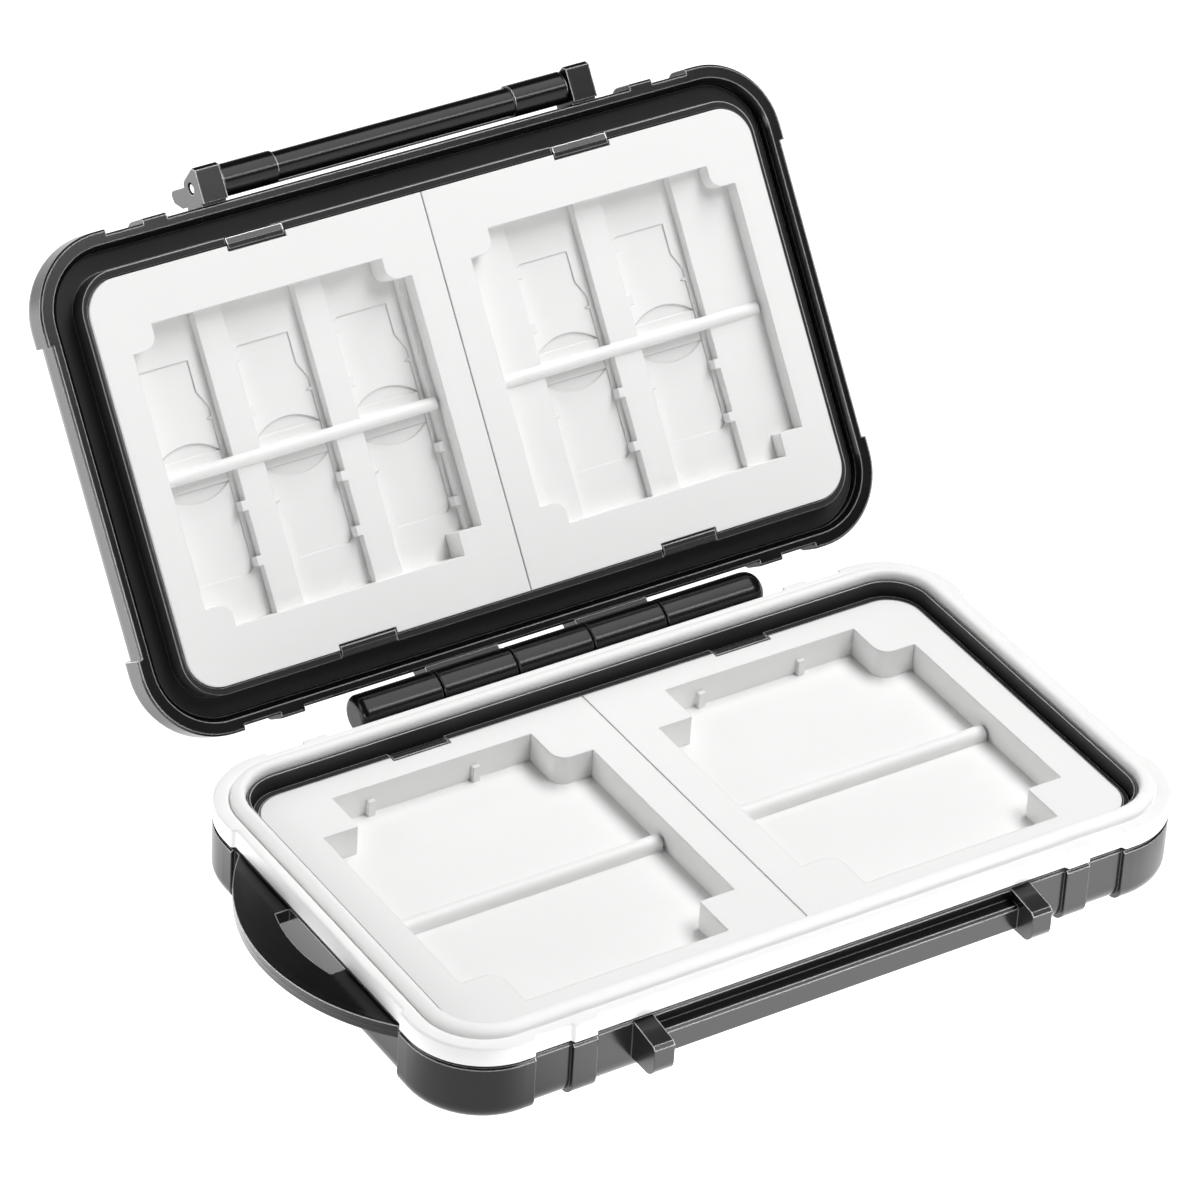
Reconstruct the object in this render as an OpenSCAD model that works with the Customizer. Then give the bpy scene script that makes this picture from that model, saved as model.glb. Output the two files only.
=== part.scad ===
// Hard case for memory cards: a hinged two-part shell with a seal round the rim,
// two moulded card trays in each half, spring clips that hold them, and one wide latch.
// The origin is on the underside, below the middle of the base. The lid stands open.

/* [Case] */
// Width of the case between its plain side walls
case_w = 121; // [118:0.5:140]
// Depth of the case between its plain front and back walls
case_d = 71.4; // [70:0.2:90]
// Corner radius of the plain outline
corner_r = 10.8; // [8:0.1:12]
// Height of the black base shell
base_h = 9.65; // [9:0.05:14]
// Thickness of the base floor
floor_t = 1.8; // [1.2:0.1:2.6]
// Thickness of the base wall under the seal
wall_t = 3.95; // [3.8:0.05:4.4]
// Radius of the edge round the underside
base_edge_r = 3; // [1:0.1:3.4]
// How far corner bumpers and strap ribs stand proud
bumper_out = 0.65; // [0.4:0.05:1.2]
// Radius of the lower edge of bumpers and ribs
bumper_edge_r = 2.5; // [1:0.1:3]
// Bevel along the shells' rims
rim_edge = 0.3; // [0.1:0.05:0.4]
// Height of the shadow groove below the seal
groove_h = 0.45; // [0.2:0.05:0.8]
// Depth of the shadow groove
groove_in = 0.5; // [0.3:0.05:0.8]
// Where a corner bumper starts on the front and back walls
bumper_x = 48; // [45:0.5:49]
// Where a corner bumper starts on the side walls
bumper_y = 22.6; // [20:0.2:24]
// Middle of a strap rib on the front and back walls
rib_x = 40.2; // [39:0.2:42]
// Width of a strap rib
rib_w = 3.8; // [2:0.1:4.6]

/* [Seal] */
// Height of the seal band above the black shell
seal_h = 2.95; // [2.4:0.05:4]
// Width of the flat flange outside the bead
flange_w = 1.5; // [1.5:0.05:1.6]
// Height of the bead above the flange
bead_h = 1.2; // [0.9:0.05:1.4]
// Radius of the bead's crest
bead_r = 0.62; // [0.4:0.02:0.64]
// Distance of the bead's crest from the outline
bead_inset = 2.95; // [2.8:0.05:3]
// Depth of the seal's tongue in the base wall
tongue_h = 1.2; // [0.8:0.1:2]
// Width of the seal's tongue
tongue_w = 1.2; // [0.8:0.1:1.4]
// Thickness of the black upstand behind the seal
upstand_t = 0.5; // [0.4:0.05:0.6]

/* [Card trays] */
// Distance from the side walls' face to the trays
tray_inset_x = 5.8; // [5.7:0.05:6.2]
// Distance from the front and back walls' face to the trays
tray_inset_y = 6.2; // [6.1:0.05:6.4]
// Radius of a tray's two outer corners
tray_r = 5; // [3:0.5:6]
// Height of the base trays' top face
tray_top = 10.3; // [10:0.05:10.6]
// Gap between the tray faces with the case shut
face_gap = 0.4; // [0.3:0.05:0.8]
// Border between a base tray's side edges and its pocket
base_border_x = 5.4; // [3:0.1:6]
// Border between a base tray's front and back edges and its pocket
base_border_y = 3.8; // [3:0.1:5]
// Depth of the large card pocket
base_pocket_h = 4.65; // [4.2:0.05:5]
// Width of a corner block in the large pocket
base_block_w = 5.7; // [5:0.1:6]
// Length of a corner block in the large pocket
base_block_d = 7.35; // [6:0.05:7.5]
// Corner radius of the blocks in the large pocket
base_block_r = 2.3; // [1:0.1:3]
// Shift of the large pocket towards the front
base_pocket_shift = 0.5; // [0:0.1:0.6]
// Thickness of the rib that parts the two small cards
base_rib_t = 2.3; // [1.6:0.1:3]
// Height of that rib above the pocket floor
base_rib_h = 1.95; // [1.2:0.05:2.6]
// Width of a pressing nub in the large pocket
nub_w = 1.1; // [0.8:0.1:1.6]
// How far that nub stands out of the wall
nub_out = 0.8; // [0.4:0.1:1]
// How far the nubs stay below the tray's face
nub_drop = 2.2; // [1:0.1:3]
// Place of the left nub on the back wall, from the pocket's middle
nub_left = -10.1; // [-14:0.1:-6]
// Place of the right nub on the back wall
nub_right = 6.95; // [4:0.05:14]

/* [Lid trays] */
// Border between a lid tray's side edges and its recess
lid_border_x = 4.8; // [3:0.1:6]
// Border between a lid tray's front and back edges and its recess
lid_border_y = 7.6; // [6:0.1:9]
// Depth of a lid tray's recess
lid_pocket_h = 4.3; // [4.1:0.05:4.8]
// Width of a corner block in the lid recess
lid_block_w = 3.9; // [3:0.1:4.5]
// Length of a corner block in the lid recess
lid_block_d = 3.45; // [3:0.05:4]
// Corner radius of the blocks in the lid recess
lid_block_r = 2; // [1:0.1:2.6]
// Height of the strips that part the smallest cards
strip_h = 1.6; // [1.2:0.05:2]
// Thickness of the lid trays' cross rib
lid_rib_t = 1.9; // [1.4:0.1:2.4]
// Height of the lid trays' cross rib
lid_rib_h = 2.4; // [2:0.05:3]
// Width of a pocket for the smallest card
card_w = 11.7; // [11.3:0.1:12]
// Distance between the pockets of the left lid tray
card_pitch = 16.15; // [16:0.05:16.6]
// Distance between the pockets of the right lid tray
wide_pitch = 16.45; // [16:0.05:18]
// Distance from the right recess's left wall to its first pocket
first_pocket = 7.8; // [4:0.1:9]
// Length of the seat for the smallest card
card_l = 14.6; // [14:0.1:15]
// Margin between a pocket's wall and the seat
seat_side = 0.8; // [0.5:0.05:1]
// Width of the step where the smallest card narrows
seat_step = 1.25; // [1:0.05:1.5]
// Depth of that seat below the pocket's floor
seat_h = 0.2; // [0.1:0.05:0.4]
// Depth of the thumb notch below the pocket's floor
notch_h = 0.5; // [0.3:0.05:0.8]
// Length of a nub that holds the smallest card
lid_nub_l = 1.45; // [1:0.05:2]
// How far that nub stands out of its wall
lid_nub_out = 0.8; // [0.4:0.05:1]

/* [Clips] */
// Middle of a clip, from the middle of the case
clip_x = 26.9; // [24:0.1:30]
// Width of a clip
clip_w = 9; // [7:0.1:12]
// How far a clip's hook reaches over the tray
clip_reach = 0.75; // [0.5:0.05:1]
// Thickness of the hook
hook_t = 0.75; // [0.5:0.05:1]
// Thickness of the clip's springy tongue
tongue_t = 0.9; // [0.6:0.05:1]

/* [Lid] */
// Height of the closed lid's back face above the table
lid_top = 18.9; // [18.6:0.1:22]
// Thickness of the lid's back wall
lid_t = 2; // [1.4:0.1:2.4]
// Radius of the edge round the lid's back face
lid_edge_r = 3.2; // [1:0.1:3.6]
// Thickness of the lid's rim wall
lid_wall = 2.05; // [1.9:0.05:2.15]
// Width of the bevel inside the rim
rim_bevel = 0.75; // [0.7:0.05:0.75]
// How far the lid stands open in the photographed pose
lid_open = 125.55; // [0:0.05:126]

/* [Hinge] */
// Height of the hinge axis
hinge_z = 11.4; // [11.2:0.05:11.6]
// Distance from the back wall to the hinge axis
hinge_out = 3.4; // [3.4:0.05:3.6]
// Radius of the hinge knuckles
knuckle_r = 3; // [2.4:0.05:3]
// Radius of the hinge pin
hinge_pin_r = 1.2; // [0.8:0.05:1.5]
// Half length of the middle knuckle
knuckle_mid = 6.35; // [5:0.05:8]
// Outer end of the lid knuckles
knuckle_lid = 18.73; // [16:0.01:22]
// Left end of the hinge
hinge_left = 32; // [28:0.1:36]
// Right end of the hinge
hinge_right = 36.2; // [30:0.1:37]

/* [Latch] */
// Half length of the latch bar
latch_half = 28.4; // [24:0.1:28.5]
// Radius of the latch barrel
barrel_r = 2.1; // [1.6:0.05:2.2]
// Extra radius of the bosses at the barrel's ends
boss_out = 0.3; // [0.1:0.05:0.35]
// Length of an end boss
boss_len = 8.8; // [4:0.1:12]
// Distance from the front wall to the latch pivot
pivot_out = 2.85; // [2.85:0.05:3.2]
// Height of the latch pivot
pivot_z = 14.9; // [14.6:0.05:15.2]
// Thickness of the latch plate
plate_t = 2.9; // [2:0.1:3]
// Half length of the latch plate
plate_half = 29; // [24:0.1:29]
// Height of the shut latch's lower end above the table
latch_low = 0.4; // [0.3:0.1:1.6]
// Length of the bevel at the plate's free end
plate_bevel = 2.4; // [1:0.1:3]
// Radius of the latch pins
latch_pin_r = 0.9; // [0.6:0.05:1]
// Width of an ear
ear_w = 3.9; // [3:0.1:4.2]
// Height of an ear
ear_h = 4.9; // [4.6:0.05:5]
// Radius of an ear's rounded corner
ear_r = 1.1; // [0.8:0.1:1.4]
// How far an ear reaches below the lid's rim
ear_drop = 0.55; // [0.3:0.05:0.6]
// How far an ear stands out of the front wall
ear_out = 5.6; // [5.2:0.05:6]
// How far the latch stands folded back from shut
latch_open = 180; // [0:1:180]

/* [Catch] */
// How far the catch bar stands out of the front wall
catch_out = 2.05; // [1.6:0.05:2.1]
// Top of the catch bar
catch_top = 7.5; // [7:0.1:8]
// Underside of the catch bar
catch_low = 3.4; // [3.2:0.1:3.6]
// Middle of a catch end block
block_x = 30.8; // [30.8:0.1:32]
// Width of a catch end block
block_w = 3.2; // [2.6:0.1:3.4]
// How far a catch end block stands out of the wall
block_out = 5.5; // [5:0.1:6]

/* [Carrying loop] */
// Length of the loop along the side wall
loop_len = 43; // [36:0.5:46]
// How far the loop stands out of the side wall
loop_out = 8.6; // [7:0.1:10]
// Thickness of the loop
loop_t = 2; // [1.6:0.1:2.4]
// Height of the loop's top face
loop_top = 9.1; // [8.6:0.1:9.2]
// Length of the cord slot
slot_len = 15; // [10:0.5:20]
// Width of the cord slot
slot_w = 3.4; // [2.6:0.1:3.6]

/* [Fits] */
// Clearance round seated pieces
seat_gap = 0.1; // [0.05:0.01:0.15]
// Clearance round the pins
pin_gap = 0.03; // [0.02:0.01:0.05]
// Clearance between the shut rims
rim_gap = 0.1; // [0.05:0.01:0.2]
// Clearance between bodies that pass each other
body_gap = 0.3; // [0.25:0.01:0.3]

/* [Hidden] */
$fn = 96;
black = "#1d1d1f";
white = "#f4f4f1";
steel = "#b9bcc0";
// Height of the plane where base and lid part
split_z = base_h + seal_h;
// Height of the shut lid's rim and of the face of its trays
rim_z = split_z + rim_gap;
lid_face_z = tray_top + face_gap;
lid_inner_z = lid_top - lid_t;
tray_w = case_w / 2 - tray_inset_x - seat_gap;
tray_d = case_d - 2 * tray_inset_y;
base_pocket_w = tray_w - 2 * base_border_x;
base_pocket_d = tray_d - 2 * base_border_y;
lid_pocket_w = tray_w - 2 * lid_border_x;
lid_pocket_d = tray_d - 2 * lid_border_y;
// Both trays side by side, with a fine gap between them
tray_field_w = 2 * tray_w + 2 * seat_gap;
liner_w = tray_field_w + 3 * seat_gap;
liner_d = tray_d + 3 * seat_gap;
// Lips of the two liners, measured in from the outline
lip_inset = 5;
base_channel_z = 9;
upstand_z = split_z - seat_gap;
base_lip_z = tray_top - seat_gap;
lid_channel_z = split_z + bead_h + 0.7;
lid_lip_z = lid_face_z + face_gap;
hinge_y = case_d / 2 + hinge_out;
pivot_y = -case_d / 2 - pivot_out;
wall_root = 0.6;
ear_bevel = 0.45;
knuckle_edge = 0.25;
left_end_r = 1.1;
right_end_r = 2.5;
pin_stop = 1.5;

// Flat outline and solid forms that the shells share

module outline(grow, inset) {
    w = case_w + 2 * grow - 2 * inset;
    d = case_d + 2 * grow - 2 * inset;
    rounded_rect(w, d, corner_r + grow - inset);
}

module rounded_rect(w, d, r) {
    square([w - 2 * r, d], center = true);
    square([w, d - 2 * r], center = true);
    for (sx = [-1, 1], sy = [-1, 1]) {
        translate([sx * (w / 2 - r), sy * (d / 2 - r)]) circle(r);
    }
}

// Areas in which the wall stands proud: four corners and two ribs across
module proud_areas() {
    reach = case_w;
    for (sx = [-1, 1]) {
        for (sy = [-1, 1]) {
            translate([sx * (bumper_x + reach / 2), sy * (bumper_y + reach / 2)]) square(reach, center = true);
        }
        translate([sx * rib_x, 0]) square([rib_w, 2 * reach], center = true);
    }
}

module proud_outline() {
    outline(0, 0);
    intersection() {
        outline(bumper_out, 0);
        proud_areas();
    }
}

// Carries a section round a rounded rectangle; x = 0 is the corner's centre
module swept(w, d, r) {
    for (k = [0:3]) {
        sx = (k == 0 || k == 3) ? 1 : -1;
        sy = k < 2 ? 1 : -1;
        translate([sx * (w / 2 - r), sy * (d / 2 - r), 0]) rotate([0, 0, 90 * k])
            rotate_extrude(angle = 90) children();
        run = k % 2 == 0 ? d - 2 * r : w - 2 * r;
        off = k % 2 == 0 ? w / 2 - r : d / 2 - r;
        rotate([0, 0, 90 * k]) translate([off, run / 2, 0]) rotate([90, 0, 0])
            linear_extrude(run) children();
    }
}

// Side section with the radius e below and the bevel c above
module edge_section(r, h, e, c) {
    polygon([[0, e], [r, e], [r, h - c], [r - c, h], [0, h]]);
    square([r - e, h]);
    translate([r - e, e]) intersection() {
        circle(e);
        translate([0, -e]) square(e);
    }
}

// Block with a rounded outline and a rounded lower edge
module moulded_block(w, d, r, h, e) {
    swept(w, d, r) edge_section(r, h, e, rim_edge);
    translate([-(w / 2 - r), -(d / 2 - r), 0]) cube([w - 2 * r, d - 2 * r, h]);
}

module moulded_shell(h, e) {
    moulded_block(case_w, case_d, corner_r, h, e);
    intersection() {
        moulded_block(case_w + 2 * bumper_out, case_d + 2 * bumper_out, corner_r + bumper_out, h,
            bumper_edge_r);
        translate([0, 0, -1]) linear_extrude(h + 2) proud_areas();
    }
}

// Point where a line from p touches the circle round c on the side given by s
function touch(p, c, r, s) =
    let (d = c - p, l = norm(d), a = atan2(d[1], d[0]) - s * asin(r / l), t = sqrt(l * l - r * r))
    p + t * [cos(a), sin(a)];

// Draws a section given in y and z, from x0 to x1
module across(x0, x1) {
    translate([x0, 0, 0]) rotate([90, 0, 90]) linear_extrude(x1 - x0) children();
}

// Rod whose two ends have their own edge radii
module rounded_rod(x0, x1, r, e0, e1, y, z) {
    len = x1 - x0;
    translate([x0, y, z]) rotate([0, 90, 0]) rotate_extrude() {
        translate([0, e0]) square([r, len - e0 - e1]);
        square([r - e0, len - e1]);
        translate([0, e0]) square([r - e1, len - e0]);
        translate([r - e0, e0]) intersection() {
            circle(e0);
            translate([0, -e0]) square(e0);
        }
        translate([r - e1, len - e1]) intersection() {
            circle(e1);
            square(e1);
        }
    }
}

module rod(x0, x1, r, y, z) {
    translate([x0, y, z]) rotate([0, 90, 0]) cylinder(h = x1 - x0, r = r);
}

// Base shell

module base_knuckle(x0, x1, e0, e1) {
    foot = [case_d / 2 - wall_root, base_edge_r + 0.5];
    head = [case_d / 2 - wall_root, base_h - groove_h - 0.3];
    eye = [hinge_y, hinge_z];
    across(x0 + e0, x1 - e1) polygon([foot, head, eye, touch(foot, eye, knuckle_r, 1)]);
    rounded_rod(x0, x1, knuckle_r, e0, e1, hinge_y, hinge_z);
}

module catch_bar() {
    front = -case_d / 2 - catch_out;
    root = -case_d / 2 + wall_root;
    bevel = 0.4;
    across(-block_x, block_x) polygon([
        [root, catch_low], [front + bevel, catch_low], [front, catch_low + bevel],
        [front, catch_top - bevel], [front + bevel, catch_top], [root, catch_top]
    ]);
}

module catch_block() {
    front = -case_d / 2 - block_out;
    root = -case_d / 2 + wall_root;
    low = catch_low - 0.3;
    high = base_h - groove_h;
    tip = high - 0.8;
    heel_r = 1.9;
    across(-block_w / 2, block_w / 2) {
        polygon([
            [root, low], [front + heel_r, low], [front, low + heel_r],
            [front, tip - 0.5], [front + 0.5, tip], [root, high]
        ]);
        translate([front + heel_r, low + heel_r]) intersection() {
            circle(heel_r);
            translate([-heel_r, -heel_r]) square(heel_r);
        }
    }
}

module carrying_loop() {
    bow_r = (pow(loop_len / 2, 2) + loop_out * loop_out) / (2 * loop_out);
    centre_x = -case_w / 2 - loop_out + bow_r;
    round_r = loop_t / 2;
    difference() {
        intersection() {
            translate([centre_x, 0, loop_top - loop_t]) rotate_extrude() {
                square([bow_r - round_r, loop_t]);
                translate([bow_r - round_r, round_r]) intersection() {
                    circle(round_r);
                    translate([0, -round_r]) square([round_r, loop_t]);
                }
            }
            translate([-case_w, -case_d / 2, 0]) cube([case_w / 2 + wall_root, case_d, base_h]);
        }
        translate([0, 0, loop_top - loop_t - 1]) linear_extrude(loop_t + 2) intersection() {
            translate([-case_w / 2 - slot_w, -slot_len / 2]) square([slot_w, slot_len]);
            translate([centre_x, 0]) circle(bow_r - loop_out + slot_w);
        }
    }
}

module base_shell() {
    color(black) difference() {
        union() {
            moulded_shell(base_h - groove_h, base_edge_r);
            translate([0, 0, floor_t]) linear_extrude(base_h - floor_t) outline(0, groove_in);
            base_knuckle(-knuckle_mid + seat_gap, knuckle_mid - seat_gap, knuckle_edge, knuckle_edge);
            base_knuckle(-hinge_left, -knuckle_lid - seat_gap, left_end_r, knuckle_edge);
            base_knuckle(knuckle_lid + seat_gap, hinge_right, knuckle_edge, right_end_r);
            catch_bar();
            for (s = [-1, 1]) {
                translate([s * block_x, 0, 0]) catch_block();
            }
            carrying_loop();
        }
        translate([0, 0, floor_t]) linear_extrude(base_h) outline(0, wall_t);
        translate([0, 0, base_h - tongue_h - seat_gap]) linear_extrude(tongue_h + 1) difference() {
            outline(0, flange_w - seat_gap);
            outline(0, flange_w + tongue_w + seat_gap);
        }
        rod(-hinge_left + pin_stop, case_w, hinge_pin_r + pin_gap, hinge_y, hinge_z);
    }
}

// Frame inside the base wall: the upstand behind the seal, the dark channel and the lip round the trays

module tray_opening() {
    rounded_rect(liner_w, liner_d, tray_r + seat_gap);
}

module clip_slots(z0, h) {
    for (sx = [-1, 1]) {
        translate([sx * clip_x - clip_w / 2 - seat_gap, -case_d / 2, z0])
            cube([clip_w + 2 * seat_gap, case_d, h]);
    }
}

// The slots reach from the trays out to the back of the clips' tongues
module clip_slot_cut(z0, h) {
    intersection() {
        clip_slots(z0, h);
        translate([-case_w / 2, -clip_back - seat_gap, z0]) cube([case_w, 2 * (clip_back + seat_gap), h]);
    }
}

module base_liner() {
    color(black) difference() {
        union() {
            translate([0, 0, floor_t]) linear_extrude(base_channel_z - floor_t) outline(0, wall_t + seat_gap);
            translate([0, 0, floor_t]) linear_extrude(base_lip_z - floor_t) outline(0, lip_inset);
            translate([0, 0, base_channel_z - 0.5]) linear_extrude(upstand_z - base_channel_z + 0.5) difference() {
                outline(0, wall_t + seat_gap);
                outline(0, wall_t + seat_gap + upstand_t);
            }
        }
        translate([0, 0, floor_t - 1]) linear_extrude(base_h + 2) tray_opening();
        clip_slot_cut(floor_t - 1, base_h + 2);
    }
}

// Seal band with its bead

module bead_section() {
    foot = corner_r - flange_w;
    crest = corner_r - bead_inset;
    inner = corner_r - seal_w;
    shoulder = bead_h - 0.25;
    polygon([
        [foot, -0.5], [foot, 0], [crest + 0.45, shoulder],
        [crest - 0.5, shoulder], [inner + 0.05, 0], [inner + 0.05, -0.5]
    ]);
    translate([crest, bead_h - bead_r]) circle(bead_r);
}

module base_seal() {
    color(white) {
        translate([0, 0, base_h]) linear_extrude(seal_h) difference() {
            proud_outline();
            outline(0, seal_w);
        }
        translate([0, 0, split_z]) swept(case_w, case_d, corner_r) bead_section();
        translate([0, 0, base_h - tongue_h]) linear_extrude(tongue_h + 0.5) difference() {
            outline(0, flange_w);
            outline(0, flange_w + tongue_w);
        }
    }
}
seal_w = wall_t - 0.05;

// Trays. A tray is drawn with its face at z = 0 and its split edge at x = 0.

module tray_blank(h) {
    translate([0, 0, -h]) linear_extrude(h) union() {
        translate([0, -tray_d / 2]) square([tray_w - tray_r, tray_d]);
        translate([0, -tray_d / 2 + tray_r]) square([tray_w, tray_d - 2 * tray_r]);
        for (s = [-1, 1]) {
            translate([tray_w - tray_r, s * (tray_d / 2 - tray_r)]) circle(tray_r);
        }
    }
}

// Rebates that let the clips' hooks lie flush with the face
module hook_rebates(at) {
    for (s = [-1, 1]) {
        translate([at - clip_w / 2 - 2 * seat_gap, s * (tray_d / 2) - clip_reach - seat_gap, -hook_t - seat_gap])
            cube([clip_w + 4 * seat_gap, 2 * (clip_reach + seat_gap), hook_t + 1]);
    }
}

// Block in a pocket's corner, with its free corner rounded
module corner_block(w, d, r) {
    square([w - r, d]);
    square([w, d - r]);
    translate([w - r, d - r]) circle(r);
}

// Pocket of w by d with blocks in its corners; the four radii go round from front left
module pocket_outline(w, d, bw, bd, radii) {
    signs = [[-1, -1], [1, -1], [1, 1], [-1, 1]];
    difference() {
        square([w, d], center = true);
        for (k = [0:3]) {
            translate([signs[k][0] * w / 2, signs[k][1] * d / 2])
                mirror([signs[k][0] > 0 ? 1 : 0, 0]) mirror([0, signs[k][1] > 0 ? 1 : 0])
                    corner_block(bw, bd, radii[k]);
        }
    }
}

module rib_bar(x0, x1, t, h) {
    across(x0, x1) {
        translate([-t / 2, 0]) square([t, h - t / 2]);
        translate([0, h - t / 2]) intersection() {
            circle(t / 2);
            translate([-t / 2, 0]) square([t, t / 2]);
        }
    }
}

module base_pocket_fittings() {
    rib_bar(-base_pocket_w / 2 - 0.5, base_pocket_w / 2 - 0.4, base_rib_t, base_rib_h);
    for (s = [-1, 1]) {
        for (x = [nub_left, nub_right]) {
            translate([s * x, s * (base_pocket_d / 2 - nub_out / 2 + 0.25), nub_h / 2])
                cube([nub_w, nub_out + 0.5, nub_h], center = true);
        }
    }
}
nub_h = base_pocket_h - nub_drop;
sharp_r = 0.3;

module base_tray(side) {
    middle = tray_w / 2;
    translate([side * seat_gap, 0, tray_top]) {
        difference() {
            mirror([side < 0 ? 1 : 0, 0, 0]) tray_blank(tray_top - floor_t);
            translate([side * middle, -base_pocket_shift, -base_pocket_h]) linear_extrude(base_pocket_h + 1)
                pocket_outline(base_pocket_w, base_pocket_d, base_block_w, base_block_d,
                    [base_block_r, sharp_r, base_block_r, sharp_r]);
            hook_rebates(side * (clip_x - seat_gap));
        }
        translate([side * middle, -base_pocket_shift, -base_pocket_h]) base_pocket_fittings();
    }
}

module base_tray_left() {
    color(white) base_tray(-1);
}

module base_tray_right() {
    color(white) base_tray(1);
}

// Clips: an upright tongue with a hook over the tray's edge, drawn for the back edge

clip_back = tray_d / 2 + 2 * seat_gap + tongue_t;

module clip(low, high) {
    inner = tray_d / 2 + 2 * seat_gap;
    tip = tray_d / 2 - clip_reach;
    slope = 0.3;
    across(-clip_w / 2, clip_w / 2) polygon([
        [inner, low], [clip_back, low], [clip_back, high - slope], [inner, high],
        [tip + slope, high], [tip, high - slope], [tip, high - hook_t], [inner, high - hook_t]
    ]);
}

module base_clip(sx, sy) {
    color(black) translate([sx * clip_x, 0, 0]) mirror([0, sy < 0 ? 1 : 0, 0])
        clip(floor_t, tray_top - 0.02);
}

module base_clip_front_left() {
    base_clip(-1, -1);
}

module base_clip_front_right() {
    base_clip(1, -1);
}

module base_clip_back_left() {
    base_clip(-1, 1);
}

module base_clip_back_right() {
    base_clip(1, 1);
}

// Lid. Its pieces are drawn shut, then swung open about the hinge.

module opened() {
    translate([0, hinge_y, hinge_z]) rotate([-lid_open, 0, 0]) translate([0, -hinge_y, -hinge_z]) children();
}

// Turns a piece that faces up at z = 0 to face down at the lid's tray face
module facing_down() {
    translate([0, 0, lid_face_z]) rotate([180, 0, 0]) children();
}

module lid_knuckle(x0, x1) {
    low = [case_d / 2 - wall_root, rim_z + 0.3];
    high = [case_d / 2 - wall_root, lid_top - lid_edge_r * 0.45];
    eye = [hinge_y, hinge_z];
    across(x0, x1) polygon([low, eye, touch(high, eye, knuckle_r, -1), high]);
    rounded_rod(x0, x1, knuckle_r, knuckle_edge, knuckle_edge, hinge_y, hinge_z);
}

// Ear with a leaning front face, one rounded corner and a top that runs out on the wall
module ear() {
    wall = -case_d / 2;
    low = rim_z - ear_drop;
    front = [wall - ear_out, low + 2 * ear_bevel];
    crown = [wall - ear_out + ear_r + 1.25, low + ear_h - ear_r];
    back = [wall + 1.4, lid_top - 0.7];
    across(-ear_w / 2, ear_w / 2) {
        polygon([
            [front[0] + ear_bevel, low], front, touch(front, crown, ear_r, -1), crown, touch(back, crown, ear_r, 1), back,
            [wall + 1.4, rim_z + 0.5], [wall - body_gap, rim_z + 0.2], [wall - body_gap, low]
        ]);
        translate(crown) circle(ear_r);
    }
}

module rim_bevel_section() {
    edge = corner_r - lid_wall;
    polygon([
        [edge - 0.5, -0.5], [edge + rim_bevel + 0.5, -0.5],
        [edge + rim_bevel, 0], [edge, rim_bevel], [edge - 0.5, rim_bevel]
    ]);
}

module lid_shell() {
    color(black) opened() difference() {
        union() {
            translate([0, 0, lid_top]) rotate([180, 0, 0]) moulded_shell(lid_top - rim_z, lid_edge_r);
            for (s = [-1, 1]) {
                lo = knuckle_mid + seat_gap;
                hi = knuckle_lid - seat_gap;
                lid_knuckle(s < 0 ? -hi : lo, s < 0 ? -lo : hi);
                translate([s * (latch_half + 0.25 + ear_w / 2), 0, 0]) ear();
            }
        }
        translate([0, 0, rim_z - 1]) linear_extrude(lid_inner_z - rim_z + 1) outline(0, lid_wall);
        translate([0, 0, rim_z]) swept(case_w, case_d, corner_r) rim_bevel_section();
        rod(-case_w, case_w, hinge_pin_r + pin_gap, hinge_y, hinge_z);
        rod(-case_w, case_w, latch_pin_r + pin_gap, pivot_y, pivot_z);
    }
}

module lid_liner() {
    color(black) opened() difference() {
        union() {
            translate([0, 0, lid_channel_z]) linear_extrude(lid_inner_z - lid_channel_z)
                outline(0, lid_wall + seat_gap);
            translate([0, 0, lid_lip_z]) linear_extrude(lid_inner_z - lid_lip_z) outline(0, lip_inset);
        }
        translate([0, 0, lid_face_z - 1]) linear_extrude(lid_top) tray_opening();
        clip_slot_cut(lid_face_z - 1, lid_top);
    }
}

module strip(x0, x1) {
    translate([x0, -lid_pocket_d / 2, 0]) cube([x1 - x0, lid_pocket_d, strip_h]);
}

// Card pockets side by side; starts holds the left edge of each pocket
module lid_strips(starts) {
    count = len(starts);
    half = lid_pocket_w / 2;
    for (k = [0:count]) {
        left = k == 0 ? -half : starts[k - 1] + card_w;
        right = k == count ? half : starts[k];
        if (right - left > 0.2) strip(left, right);
    }
}

// Seat for the smallest card: its outline with the side notch, and a thumb notch by the rib
module card_seat() {
    left = seat_side;
    right = card_w - seat_side;
    waist = left + seat_step;
    tooth = card_l * 0.59;
    shoulder = card_l * 0.48;
    neck = card_l * 0.31;
    translate([0, -card_l, -seat_h]) linear_extrude(seat_h + 0.1) polygon([
        [left, card_l], [left, tooth + 0.3], [left + seat_side, tooth], [left, tooth - 0.3], [left, shoulder],
        [waist, neck], [waist, 0], [right - seat_side, 0], [right, seat_side], [right, card_l]
    ]);
    sag = 1.9;
    half_chord = right - card_w / 2;
    bow_r = (half_chord * half_chord + sag * sag) / (2 * sag);
    far = -lid_rib_t * 0.7 - sag;
    translate([0, 0, -notch_h]) linear_extrude(notch_h + 0.1) intersection() {
        translate([card_w / 2, far + bow_r]) circle(bow_r);
        translate([0, far]) square([card_w, sag]);
    }
}

// Nubs on the wall of the strip that press on the card's edge
module card_nubs() {
    for (y = [-0.36 * card_l, -0.91 * card_l]) {
        translate([card_w - lid_nub_out, y - lid_nub_l / 2, -0.1])
            cube([lid_nub_out + 0.3, lid_nub_l, strip_h + 0.1]);
    }
}

// Both rows of a pocket column; the upper row is the lower one turned half way round
module both_rows(start) {
    half_rib = lid_rib_t / 2;
    translate([start, -half_rib]) children();
    translate([start + card_w, half_rib]) rotate(180) children();
}

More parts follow.
